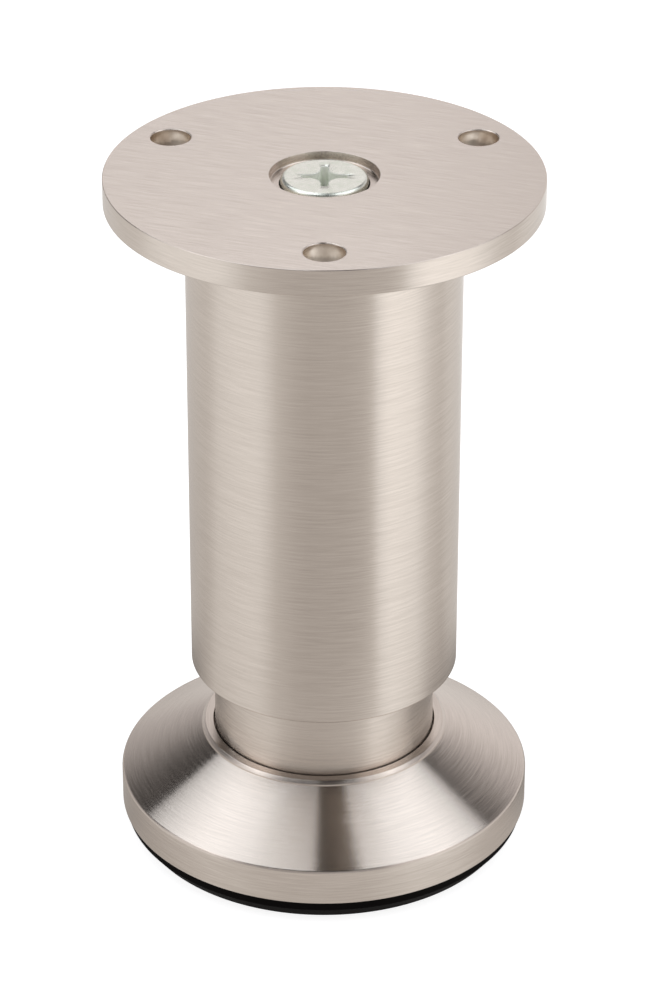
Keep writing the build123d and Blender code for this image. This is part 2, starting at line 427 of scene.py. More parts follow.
@dataclass(frozen=True)
class PlainSurface:
    """A finish with no grain direction: a colour that clouds a little and a fine random bump."""

    name: str
    slot: str
    colour: str
    cloud_colour: str
    roughness: float
    cloud_size: float
    # The real grain is finer than this. It is drawn as coarse as it needs to show.
    grain_size: float
    grain_depth: float
    metallic: float = 1.0
    roughness_spread: float = 0.1
    specular: float = 0.5

    def material(self) -> Material:
        """Make the clouded and grained material.

        Returns:
            The material.
        """
        material, tree, output = new_material(self.name)
        place = add_node(tree, "ShaderNodeTexCoord").outputs["Object"]
        cloud = add_node(
            tree,
            "ShaderNodeTexNoise",
            {"Vector": place, "Scale": 1 / self.cloud_size, "Detail": 4.0, "Roughness": 0.6},
        )
        colours = (self.colour, self.cloud_colour)
        look = varied(tree, cloud.outputs[0], colours, self.roughness, self.roughness_spread)
        grain = add_node(
            tree, "ShaderNodeTexNoise", {"Vector": place, "Scale": 1 / self.grain_size, "Detail": 2.0}
        )
        bump = add_node(
            tree,
            "ShaderNodeBump",
            {"Strength": 1.0, "Distance": self.grain_depth, "Height": grain.outputs[0]},
        )
        shader = add_node(
            tree,
            "ShaderNodeBsdfPrincipled",
            {
                **look,
                "Metallic": self.metallic,
                "Specular IOR Level": self.specular,
                "Normal": bump.outputs[0],
            },
        )
        tree.links.new(shader.outputs[0], output.inputs[0])
        return material


# Brushed on a lathe: the lines run round the leg, so highlights stand upright along it.
TURNED_NICKEL = SatinNickel(Brushing.ROUND)

# Brushed flat on a belt: the lines run across the plate, a little askew to its front hole.
PLATE_NICKEL = SatinNickel(Brushing.STRAIGHT)

# Nickel on the walls of the drilled holes, which no brush reaches.
DRILLED_NICKEL = PlainSurface(
    name="satin_nickel_drilled",
    slot="satin_nickel",
    colour="#E9DDD0",
    cloud_colour="#DCCFC0",
    roughness=0.33,
    cloud_size=1.5 * MM,
    grain_size=0.3 * MM,
    grain_depth=0.01 * MM,
)

# Electroplated zinc: a cool pale metal, faintly green, with a slightly pebbled sheen.
BRIGHT_ZINC = PlainSurface(
    name="bright_zinc_plate",
    slot="bright_zinc",
    colour="#F4F5EC",
    cloud_colour="#E8ECDF",
    roughness=0.27,
    cloud_size=1.6 * MM,
    grain_size=0.35 * MM,
    grain_depth=0.006 * MM,
)

# Zinc in the punched recess: a duller, lighter copy of the plated zinc, which paints the light bouncing
# inside the recess.
RECESS_LIGHT_ZINC = PlainSurface(
    name="bright_zinc_recess_painted_light",
    slot="bright_zinc",
    colour="#F6F8F0",
    cloud_colour="#EBEFE2",
    metallic=0.15,
    roughness=0.42,
    cloud_size=0.8 * MM,
    grain_size=0.35 * MM,
    grain_depth=0.01 * MM,
)

# Bare cold-rolled sheet: dull grey with cloudy drawing marks.
PRESSED_STEEL = PlainSurface(
    name="pressed_steel_bare",
    slot="pressed_steel",
    colour="#A7A7A9",
    cloud_colour="#8F8F92",
    roughness=0.42,
    roughness_spread=0.12,
    cloud_size=6.0 * MM,
    grain_size=0.5 * MM,
    grain_depth=0.01 * MM,
)

# Moulded nylon: black with a low, slightly waxy sheen.
BLACK_NYLON = PlainSurface(
    name="black_nylon_moulded",
    slot="black_nylon",
    colour="#19191A",
    cloud_colour="#1F1F20",
    metallic=0.0,
    roughness=0.48,
    roughness_spread=0.06,
    cloud_size=5.0 * MM,
    grain_size=0.3 * MM,
    grain_depth=0.008 * MM,
)

# Moulded rubber: near black and matt, with a fine grain that catches a little light.
BLACK_RUBBER = PlainSurface(
    name="black_rubber_moulded",
    slot="black_rubber",
    colour="#0A0807",
    cloud_colour="#110E0D",
    metallic=0.0,
    roughness=0.78,
    cloud_size=3.0 * MM,
    grain_size=0.4 * MM,
    grain_depth=0.03 * MM,
    specular=0.08,
)


class Wardrobe:
    """Makes each finish's material once and hands it out."""

    def __init__(self) -> None:
        """Start with no materials."""
        self.made: dict[Finish, Material] = {}

    def material(self, finish: Finish) -> Material:
        """Give the material of a finish.

        Args:
            finish: The finish asked for.

        Returns:
            Its material, made on the first call.
        """
        if finish not in self.made:
            self.made[finish] = finish.material()
        return self.made[finish]


# Shapes


@dataclass(frozen=True)
class Corner:
    """A corner of a turned section, walked with the solid on the left."""

    radius: float
    height: float
    rounding: float = 0.0
    finish: int = 0


def rounded_outline(corners: Sequence[Corner], closed: bool) -> Outline:
    """Round the corners of a section.

    Args:
        corners: The section's corners in order.
        closed: Whether the last corner joins the first, as on a ring.

    Returns:
        The section's points, with each rounded corner as an arc.
    """
    points: Outline = []
    count = len(corners)
    for index, corner in enumerate(corners):
        here = Vector((corner.radius, corner.height))
        at_end = not closed and index in (0, count - 1)
        if corner.rounding == 0 or at_end:
            points.append((here.x, here.y, corner.finish))
            continue
        before = corners[index - 1]
        after = corners[(index + 1) % count]
        back = (Vector((before.radius, before.height)) - here).normalized()
        ahead = (Vector((after.radius, after.height)) - here).normalized()
        half = back.angle(ahead) / 2
        centre = here + (back + ahead).normalized() * (corner.rounding / math.sin(half))
        start = here + back * (corner.rounding / math.tan(half)) - centre
        sweep = start.angle_signed(here + ahead * (corner.rounding / math.tan(half)) - centre)
        for step in range(ROUND_STEPS + 1):
            # angle_signed counts clockwise, so the arc is walked the other way
            arm = Matrix.Rotation(-sweep * step / ROUND_STEPS, 2) @ start
            finish = corner.finish if step == ROUND_STEPS else before.finish
            points.append((centre.x + arm.x, centre.y + arm.y, finish))
    return points


def turned_mesh(name: str, corners: Sequence[Corner], segments: int = TURN_SEGMENTS) -> Mesh:
    """Turn a section round the Z axis.

    Args:
        name: The mesh's name.
        corners: The section. One that starts and ends on the axis makes a solid body, and any
            other a ring.
        segments: Flats round the turn.

    Returns:
        A closed mesh whose faces carry their finish as a material index.
    """
    solid = corners[0].radius == 0
    outline = rounded_outline(corners, closed=not solid)
    points: list[tuple[float, float, float]] = []
    rows: list[list[int]] = []
    for radius, height, _ in outline:
        if radius == 0:
            rows.append([len(points)] * segments)
            points.append((0.0, 0.0, height))
            continue
        rows.append(list(range(len(points), len(points) + segments)))
        for step in range(segments):
            angle = math.tau * step / segments
            points.append((radius * math.cos(angle), radius * math.sin(angle), height))
    faces: list[list[int]] = []
    finishes: list[int] = []
    spans = len(rows) - 1 if solid else len(rows)
    for index in range(spans):
        low = rows[index]
        high = rows[(index + 1) % len(rows)]
        for step in range(segments):
            following = (step + 1) % segments
            ring = [low[step], low[following], high[following], high[step]]
            faces.append(list(dict.fromkeys(ring)))
            finishes.append(outline[index][2])
    mesh = bpy.data.meshes.new(name)
    mesh.from_pydata(points, [], faces)
    mesh.polygons.foreach_set("material_index", finishes)
    mesh.shade_smooth()
    return mesh


def lofted_mesh(
    name: str, levels: Sequence[Sequence[tuple[float, float]]], heights: Sequence[float]
) -> Mesh:
    """Join like outlines at several heights into a closed body.

    Args:
        name: The mesh's name.
        levels: One outline for each height, all with as many points, anticlockwise from above.
        heights: The heights, lowest first.

    Returns:
        The closed mesh.
    """
    points = [(x, y, height) for level, height in zip(levels, heights) for x, y in level]
    count = len(levels[0])
    faces = [list(reversed(range(count))), list(range(len(points) - count, len(points)))]
    for level in range(len(levels) - 1):
        base = level * count
        for index in range(count):
            following = (index + 1) % count
            faces.append([base + index, base + following, base + count + following, base + count + index])
    mesh = bpy.data.meshes.new(name)
    mesh.from_pydata(points, [], faces)
    return mesh


def regular_outline(across: float, sides: int = 6) -> list[tuple[float, float]]:
    """Give the outline of a regular polygon with a corner on the X axis.

    Args:
        across: Distance across flats.
        sides: Number of sides.

    Returns:
        The corners, anticlockwise.
    """
    corner_radius = across / 2 / math.cos(math.pi / sides)
    angles = [math.tau * side / sides for side in range(sides)]
    return [(corner_radius * math.cos(angle), corner_radius * math.sin(angle)) for angle in angles]


def placed(name: str, mesh: Mesh) -> Object:
    """Put a mesh into the scene at the frame's origin.

    Args:
        name: The object's name.
        mesh: Its mesh.

    Returns:
        The object.
    """
    thing = bpy.data.objects.new(name, mesh)
    bpy.context.scene.collection.objects.link(thing)
    return thing


def cut_with(piece: Object, tools: Sequence[Object], operation: str = "DIFFERENCE") -> None:
    """Cut pieces out of a piece, or weld them to it, and delete the tools.

    Args:
        piece: The piece that changes.
        tools: The closed bodies to use.
        operation: DIFFERENCE, UNION or INTERSECT.
    """
    for tool in tools:
        modifier = piece.modifiers.new("cut", "BOOLEAN")
        modifier.operation = operation
        modifier.solver = "EXACT"
        modifier.object = tool
    depsgraph = bpy.context.evaluated_depsgraph_get()
    result = bpy.data.meshes.new_from_object(piece.evaluated_get(depsgraph))
    piece.modifiers.clear()
    old = piece.data
    piece.data = result
    bpy.data.meshes.remove(old)
    for tool in tools:
        mesh = tool.data
        bpy.data.objects.remove(tool)
        bpy.data.meshes.remove(mesh)


def hole_tool(radius: float, bottom: float, top: float, edge: float) -> Object:
    """Make a drill whose neck flares at the surface, which leaves a rounded rim.

    Args:
        radius: The hole's radius.
        bottom: Where the drill's tip ends.
        top: Height of the surface.
        edge: Radius of the rounded rim.

    Returns:
        The closed tool.
    """
    beyond = 2 * edge
    # The shoulder lies a hair below the surface, so that the cut isn't flush with it.
    lip = 0.04 * edge
    # The arc is a little smaller than the shoulder is wide, so that it ends on the shoulder.
    rounding = 0.95 * edge
    corners = [
        Corner(0.0, bottom),
        Corner(radius, bottom),
        Corner(radius, top - lip, rounding),
        Corner(radius + edge, top - lip),
        Corner(radius + edge + beyond, top + beyond),
        Corner(0.0, top + beyond),
    ]
    return placed("hole_tool", turned_mesh("hole_tool", corners, segments=DRILL_SEGMENTS))


# Pieces


@dataclass
class Piece:
    """A visible piece that stands for one node of the frame."""

    wardrobe: Wardrobe
    node: str = ""
    body: str = ""
    finishes: tuple[Finish, ...] = (TURNED_NICKEL,)
    low: Vector = field(init=False)
    high: Vector = field(init=False)

    def __post_init__(self) -> None:
        """Read the node's box from the frame."""
        self.low, self.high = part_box(self.node)

    @property
    def outer_radius(self) -> float:
        """Radius of the node's widest part."""
        return self.high.x

    def section(self) -> list[Corner]:
        """Give the section that is turned for this piece."""
        raise NotImplementedError

    def shape(self) -> Object:
        """Turn the section into the piece's mesh, dressed in its finishes.

        Returns:
            The piece.
        """
        mesh = turned_mesh(self.node, self.section())
        for finish in self.finishes:
            mesh.materials.append(self.wardrobe.material(finish))
        return placed(f"{self.node}_turned", mesh)

    def build(self) -> Object:
        """Shape the piece, smooth its faces and tie it to its body.

        Returns:
            The finished piece.
        """
        piece = self.shape()
        piece.data.shade_smooth()
        weighting = piece.modifiers.new("flat_faces_first", "WEIGHTED_NORMAL")
        # The highest weight, so that large faces stay flat right up to their fine edges.
        weighting.weight = 100
        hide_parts(self.node)
        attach(piece, self.body)
        log.info("%s: %d faces on %s", piece.name, len(piece.data.polygons), self.body)
        return piece


@dataclass
class MountingPlate(Piece):
    """The cast plate, with three fixing holes, a stepped centre recess, a spigot and a boss."""

    node: str = "mounting_plate"
    body: str = "leg"
    finishes: tuple[Finish, ...] = (TURNED_NICKEL, PLATE_NICKEL, DRILLED_NICKEL)
    edge: float = 0.3 * MM
    top_edge: float = 0.15 * MM
    recess_radius: float = 10.0 * MM
    recess_depth: float = 1.7 * MM
    pocket_radius: float = 8.2 * MM
    screw_seat_depth: float = 6.4 * MM
    screw_hole_radius: float = 4.5 * MM
    boss_radius: float = 13.0 * MM
    spigot_height: float = 6.0 * MM
    spigot_wall: float = 3.0 * MM
    spigot_clearance: float = 1.6 * MM
    fixing_hole_radius: float = 3.7 * MM
    fixing_hole_edge: float = 0.25 * MM

    def section(self) -> list[Corner]:
        """Give the plate's section, from the screw hole's lower edge outwards."""
        straight = self.finishes.index(PLATE_NICKEL)
        top = self.high.z
        bottom = self.low.z
        underside = bottom + self.spigot_height
        tube_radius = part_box("leg_tube")[1].x
        spigot_radius = tube_radius - self.spigot_clearance
        recess_floor = top - self.recess_depth
        seat = top - self.screw_seat_depth
        fine = self.edge / 3
        return [
            Corner(self.screw_hole_radius, bottom, fine),
            Corner(self.boss_radius, bottom, self.edge),
            Corner(self.boss_radius, underside, self.edge),
            Corner(spigot_radius - self.spigot_wall, underside, self.edge),
            Corner(spigot_radius - self.spigot_wall, bottom, self.edge),
            Corner(spigot_radius, bottom, self.edge),
            Corner(spigot_radius, underside, fine),
            Corner(self.outer_radius, underside, self.edge),
            Corner(self.outer_radius, top, self.top_edge, straight),
            Corner(self.recess_radius, top, fine),
            Corner(self.recess_radius, recess_floor, self.edge),
            Corner(self.pocket_radius, recess_floor, fine),
            Corner(self.pocket_radius, seat, fine),
            Corner(self.screw_hole_radius, seat, fine),
        ]

    def shape(self) -> Object:
        """Turn the plate and drill its fixing holes.

        Returns:
            The drilled plate.
        """
        plate = super().shape()
        pattern = next(m for m in frame["record"]["mounts"] if m["kind"] == "bolt_pattern")
        circle_radius = pattern["dims"]["pcd_mm"] * MM / 2
        count = pattern["dims"]["count"]
        bottom = self.low.z + self.spigot_height - self.edge
        drills = []
        for index in range(count):
            # The first hole is at the front, on the minus Y side.
            angle = math.tau * index / count - math.pi / 2
            drill = hole_tool(self.fixing_hole_radius, bottom, self.high.z, self.fixing_hole_edge)
            drill.location = (circle_radius * math.cos(angle), circle_radius * math.sin(angle), 0.0)
            for face in drill.data.polygons:
                if face.center.z < self.high.z - self.fixing_hole_edge:
                    face.material_index = self.finishes.index(DRILLED_NICKEL)
            drills.append(drill)
        cut_with(plate, drills)
        return plate


@dataclass
class PlateScrew(Piece):
    """The machine screw, with a flat-topped round head and a cross recess."""

    node: str = "plate_screw"
    body: str = "leg"
    finishes: tuple[Finish, ...] = (BRIGHT_ZINC, RECESS_LIGHT_ZINC)
    head_height: float = 6.0 * MM
    head_edge: float = 0.9 * MM
    shank_radius: float = 4.0 * MM
    tip_chamfer: float = 0.8 * MM
    cross_span: float = 8.6 * MM
    cross_slot: float = 1.4 * MM
    cross_corner: float = 2.2 * MM
    cross_depth: float = 4.2 * MM
    cross_end_taper: float = math.radians(13.25)
    cross_side_taper: float = math.radians(3.0)
    cross_edge: float = 0.12 * MM
    seat_edge: float = 0.12 * MM
    # How far back and out each point of a wing's round end is, in slot widths
    wing_end: tuple[tuple[float, float], ...] = ((0.0, 0.0), (0.12, 0.38), (0.4, 0.5))

    def section(self) -> list[Corner]:
        """Give the screw's section from its tip up."""
        tip = self.low.z
        top = self.high.z
        seat = top - self.head_height
        return [
            Corner(0.0, tip),
            Corner(self.shank_radius - self.tip_chamfer, tip),
            Corner(self.shank_radius, tip + self.tip_chamfer),
            Corner(self.shank_radius, seat, self.seat_edge),
            Corner(self.outer_radius, seat, self.seat_edge),
            Corner(self.outer_radius, top, self.head_edge),
            Corner(0.0, top),
        ]

    def cross_outline(self, span: float, slot: float, corner: float) -> list[tuple[float, float]]:
        """Give a cross with round ends and rounded inner corners.

        Args:
            span: Length from wing end to wing end.
            slot: Width of a wing.
            corner: Radius of the four inner corners.

        Returns:
            The outline, anticlockwise.
        """
        steps = 6
        reach = slot / 2 + corner
        end = [(span / 2 - slot * back, slot * out) for back, out in self.wing_end]
        quarter = list(end)
        for step in range(steps + 1):
            angle = math.radians(-90 - 90 * step / steps)
            quarter.append((reach + corner * math.cos(angle), reach + corner * math.sin(angle)))
        quarter += [(out, along) for along, out in reversed(end[1:])]
        outline = []
        for turn in range(4):
            spin = Matrix.Rotation(math.radians(90 * turn), 2)
            outline += [tuple(spin @ Vector(point)) for point in quarter]
        return outline

    def shape(self) -> Object:
        """Turn the screw and press the cross recess into its head.

        Returns:
            The screw.
        """
        screw = super().shape()
        top = self.high.z
        depths = (self.cross_depth, self.cross_depth / 2, self.cross_edge, 0.0, -self.cross_edge)
        levels = []
        for depth in depths:
            flare = 2 * max(self.cross_edge - depth, 0.0)
            span = self.cross_span - 2 * depth * math.tan(self.cross_end_taper) + flare
            slot = self.cross_slot - 2 * depth * math.tan(self.cross_side_taper) + flare
            levels.append(self.cross_outline(span, slot, self.cross_corner))
        heights = [top - depth for depth in depths]
        mesh = lofted_mesh("cross_tool", levels, heights)
        # The recess walls take the lighter zinc copy, which paints the light bouncing inside the recess.
        for face in mesh.polygons:
            face.material_index = self.finishes.index(RECESS_LIGHT_ZINC)
        cross = placed("cross_tool", mesh)
        cut_with(screw, [cross])
        return screw


@dataclass
class LegTube(Piece):
    """The outer tube, drawn and brushed round."""

    node: str = "leg_tube"
    body: str = "leg"
    wall: float = 1.5 * MM
    lower_edge: float = 0.35 * MM
    upper_edge: float = 0.1 * MM

    def section(self) -> list[Corner]:
        """Give the tube's section."""
        inner = self.outer_radius - self.wall
        return [
            Corner(inner, self.low.z, self.lower_edge),
            Corner(self.outer_radius, self.low.z, self.lower_edge),
            Corner(self.outer_radius, self.high.z, self.upper_edge),
            Corner(inner, self.high.z, self.upper_edge),
        ]


@dataclass
class Sleeve(Piece):
    """The inner tube, whose floor is turned inwards."""

    node: str = "sleeve"
    body: str = "sleeve"
    wall: float = 1.5 * MM
    floor_hole_radius: float = 12.0 * MM
    edge: float = 0.3 * MM

    def section(self) -> list[Corner]:
        """Give the sleeve's section."""
        inner = self.outer_radius - self.wall
        floor_top = self.low.z + self.wall
        return [
            Corner(self.floor_hole_radius, self.low.z, self.edge),
            Corner(self.outer_radius, self.low.z, self.edge),
            Corner(self.outer_radius, self.high.z, self.edge),
            Corner(inner, self.high.z, self.edge),
            Corner(inner, floor_top, self.edge),
            Corner(self.floor_hole_radius, floor_top, self.edge),
        ]


@dataclass
class FootFlange(Piece):
    """The cast foot: rim, cone and collar outside, and a hub with ribs inside."""

    node: str = "foot_flange"
    body: str = "foot"
    rim_height: float = 7.2 * MM
    cone_height: float = 8.9 * MM
    wall: float = 2.8 * MM
    collar_wall: float = 2.24 * MM
    collar_bevel: float = 0.6 * MM
    socket_clearance: float = 0.3 * MM
    socket_depth: float = 3.0 * MM
    socket_floor_thickness: float = 3.0 * MM
    spindle_hole_radius: float = 5.05 * MM
    hub_radius: float = 13.0 * MM
    pad_insert: float = 2.0 * MM
    pocket_across: float = 16.3 * MM
    pocket_depth: float = 7.0 * MM
    rib_count: int = 6
    rib_thickness: float = 2.2 * MM
    rim_edge: float = 0.8 * MM
    fine_edge: float = 0.12 * MM
    casting_corner: float = 0.8 * MM

    def __post_init__(self) -> None:
        """Read the box and work out the radii and heights that follow from it."""
        super().__post_init__()
        self.socket_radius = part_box("sleeve")[1].x + self.socket_clearance
        self.collar_radius = self.socket_radius + self.collar_wall
        self.rim_top = self.low.z + self.rim_height
        self.cone_top = self.rim_top + self.cone_height
        self.socket_floor = self.high.z - self.socket_depth
        self.hollow_top = self.socket_floor - self.socket_floor_thickness
        self.hollow_radius = self.outer_radius - self.wall
        self.slope = self.cone_height / (self.outer_radius - self.collar_radius)
        wall_drop = self.wall * math.hypot(1.0, self.slope)
        break_run = (self.cone_top - wall_drop - self.hollow_top) / self.slope
        self.break_radius = self.collar_radius + break_run
        self.hollow_edge = self.hollow_top - (self.hollow_radius - self.break_radius) * self.slope
        self.pad_top = self.low.z + self.pad_insert

    def section(self) -> list[Corner]:
        """Give the casting's section, from the hub's lower face outwards."""
        return [
            Corner(self.spindle_hole_radius, self.pad_top),
            Corner(self.hub_radius, self.pad_top, self.fine_edge),
            Corner(self.hub_radius, self.hollow_top, self.casting_corner),
            Corner(self.break_radius, self.hollow_top, self.casting_corner),
            Corner(self.hollow_radius, self.hollow_edge, self.casting_corner),
            Corner(self.hollow_radius, self.low.z, self.fine_edge),
            Corner(self.outer_radius, self.low.z, self.rim_edge / 2),
            Corner(self.outer_radius, self.rim_top, self.rim_edge),
            Corner(self.collar_radius, self.cone_top, self.fine_edge),
            Corner(self.collar_radius, self.high.z - self.collar_bevel, self.fine_edge),
            Corner(self.collar_radius - self.collar_bevel, self.high.z, self.fine_edge),
            Corner(self.socket_radius, self.high.z, self.fine_edge),
            Corner(self.socket_radius, self.socket_floor, self.fine_edge),
            Corner(self.spindle_hole_radius, self.socket_floor),
        ]

    def rib(self, index: int) -> Object:
        """Make one radial rib that runs into hub, roof and rim.

        Args:
            index: The rib's number round the hub.

        Returns:
            The rib as a closed body.
        """
        bury = self.wall / 2
        inner = self.hub_radius - bury
        outer = self.hollow_radius + bury
        profile = [
            (inner, self.pad_top),
            (outer, self.pad_top),
            (outer, self.hollow_edge),
            (self.break_radius, self.hollow_top + bury),
            (inner, self.hollow_top + bury),
        ]
        half = self.rib_thickness / 2
        mesh = lofted_mesh("rib_tool", [profile, profile], [-half, half])
        # The outline is drawn flat, so it is stood up before it is turned into place.
        mesh.transform(Matrix.Rotation(math.pi / 2, 4, "X"))
        rib = placed("rib_tool", mesh)
        rib.rotation_euler.z = math.tau * index / self.rib_count
        return rib

    def shape(self) -> Object:
        """Turn the casting, add its ribs and sink the hexagon pocket.

        Returns:
            The foot.
        """
        foot = super().shape()
        cut_with(foot, [self.rib(index) for index in range(self.rib_count)], "UNION")
        outline = regular_outline(self.pocket_across)
        heights = [self.low.z, self.pad_top + self.pocket_depth]
        pocket = placed("pocket_tool", lofted_mesh("pocket_tool", [outline, outline], heights))
        cut_with(foot, [pocket])
        return foot


@dataclass
class FootPad(Piece):
    """The rubber pad that plugs the foot's hollow and spreads under its rim."""

    node: str = "foot_pad"
    body: str = "foot"
    finishes: tuple[Finish, ...] = (BLACK_RUBBER,)
    edge: float = 0.35 * MM
    hollow_radius: float = 27.0 * MM
    hollow_depth: float = 1.2 * MM
    floor_radius: float = 36.55 * MM
    taper_height: float = 2.6 * MM
    insert_radius: float = 36.4 * MM
    insert_height: float = 2.0 * MM

    def section(self) -> list[Corner]:
        """Give the pad's section, from the roof of its hollow outwards."""
        roof = self.low.z + self.hollow_depth
        flange_top = self.high.z - self.insert_height
        return [
            Corner(0.0, roof),
            Corner(self.hollow_radius, roof, self.edge),
            Corner(self.hollow_radius, self.low.z, self.edge),
            Corner(self.floor_radius, self.low.z, self.edge),
            Corner(self.outer_radius, self.low.z + self.taper_height, self.edge),
            Corner(self.outer_radius, flange_top, self.edge / 2),
            Corner(self.insert_radius, flange_top),
            Corner(self.insert_radius, self.high.z, self.edge),
            Corner(0.0, self.high.z),
        ]


@dataclass
class InnerWorks:
    """The pieces sealed inside, which keep their solids and get their finishes."""

    wardrobe: Wardrobe
    finishes: dict[str, Finish] = field(
        default_factory=lambda: {
            "top_insert": PRESSED_STEEL,
            "plate_nut": BRIGHT_ZINC,
            "nut_carrier": PRESSED_STEEL,
            "spindle_nut": BRIGHT_ZINC,
            "guide_bush": BLACK_NYLON,
            "spindle": BRIGHT_ZINC,
            "thrust_bush": BLACK_NYLON,
            "clamp_washer": BRIGHT_ZINC,
            "lock_nut": BRIGHT_ZINC,
        }
    )

    def build(self) -> None:
        """Dress each inner piece."""
        for node, finish in self.finishes.items():
            for place in frame["nodes"][node].material_slots:
                place.material = self.wardrobe.material(finish)
            log.info("%s: dressed in %s", node, finish.slot)


# Studio


WHITE = "#FFFFFF"
"""Plain white, for what isn't tinted."""


@dataclass(frozen=True)
class Softbox:
    """A flat overhead light that mirrors show but the camera doesn't."""

    name: str
    left: float
    right: float
    near: float
    far: float
    height: float = 0.9
    luminance: float = 1.39
    colour: str = "#F5F9FF"

    def build(self) -> None:
        """Hang the light, facing down."""
        width = self.right - self.left
        depth = self.far - self.near
        lamp = bpy.data.lights.new(self.name, "AREA")
        lamp.shape = "RECTANGLE"
        lamp.size = width
        lamp.size_y = depth
        # A flat lamp's luminance is its power over its area and pi.
        lamp.energy = self.luminance * width * depth * math.pi
        lamp.color = linear(self.colour)[:3]
        thing = bpy.data.objects.new(self.name, lamp)
        thing.location = ((self.left + self.right) / 2, (self.near + self.far) / 2, self.height)
        thing.visible_camera = False
        bpy.context.scene.collection.objects.link(thing)
        log.info("%s: %.2f by %.2f m at %.2f m", self.name, width, depth, self.height)


@dataclass(frozen=True)
class Surround:
    """The tent round the leg: how bright it is in each direction."""

    colour: str = "#FFFAFB"
    # Elevation in degrees and brightness, towards each side
    front_rise: Stops = (
        (-90, 0.5), (0, 0.4), (8, 0.3), (18, 0.5), (26, 0.6), (32, 0.45), (39, 0.08), (54, 0.02),
        (90, 0.02),
    )
    left_rise: Stops = ((-90, 0.6), (0, 0.6), (12, 0.47), (20, 0.26), (28, 0.035), (90, 0.0))
    right_rise: Stops = (
        (-90, 0.85), (0, 0.85), (14, 0.8), (22, 0.6), (28, 0.42), (36, 0.18), (43, 0.05), (90, 0.02),
    )
    back_rise: Stops = ((-90, 0.8), (0, 0.8), (10, 0.85), (46, 0.85), (66, 0.05), (90, 0.02))
    panel_rise: Stops = ((-90, 0.8), (0, 0.8), (46, 0.8), (56, 0.2), (70, 0.03), (90, 0.02))
    # Azimuth in degrees, from the camera's side to the right, and the share of each side there
    panel_share: Stops = ((-180, 0.0), (-105, 0.0), (-88, 1.0), (88, 1.0), (100, 0.0), (180, 0.0))
    front_share: Stops = ((-180, 0.0), (-62, 0.0), (-46, 1.0), (30, 1.0), (46, 0.0), (180, 0.0))
    back_share: Stops = ((-180, 1.0), (-172, 1.0), (-160, 0.0), (152, 0.0), (163, 1.0), (180, 1.0))
    right_share: Stops = ((-180, 0.0), (-5, 0.0), (5, 1.0), (180, 1.0))

    def build(self) -> None:
        """Paint the world, which the camera sees as plain white."""
        world = bpy.data.worlds.new("tent")
        bpy.context.scene.world = world
        world.use_nodes = True
        tree = world.node_tree
        tree.nodes.clear()
        way = add_node(tree, "ShaderNodeTexCoord").outputs["Generated"]
        height = add_node(tree, "ShaderNodeSeparateXYZ", {0: way}).outputs[2]
        elevation = add_node(tree, "ShaderNodeMath", {0: height}, operation="ARCSINE").outputs[0]
        azimuth = azimuth_of(tree, way)
        left, right, panel, front, back = (
            ramp(tree, elevation, stops)
            for stops in (self.left_rise, self.right_rise, self.panel_rise, self.front_rise, self.back_rise)
        )
        tent = blend(tree, ramp(tree, azimuth, self.right_share), left, right)
        tent = blend(tree, ramp(tree, azimuth, self.panel_share), tent, panel)
        tent = blend(tree, ramp(tree, azimuth, self.front_share), tent, front)
        tent = blend(tree, ramp(tree, azimuth, self.back_share), tent, back)
        seen = add_node(tree, "ShaderNodeLightPath").outputs["Is Camera Ray"]
        level = blend(tree, seen, tent, 1.0)
        colour = add_node(
            tree,
            "ShaderNodeMix",
            {0: seen, 6: linear(self.colour), 7: linear(WHITE)},
            data_type="RGBA",
        )
        light = add_node(tree, "ShaderNodeBackground", {"Color": colour.outputs[2], "Strength": level})
        output = add_node(tree, "ShaderNodeOutputWorld")
        tree.links.new(light.outputs[0], output.inputs[0])


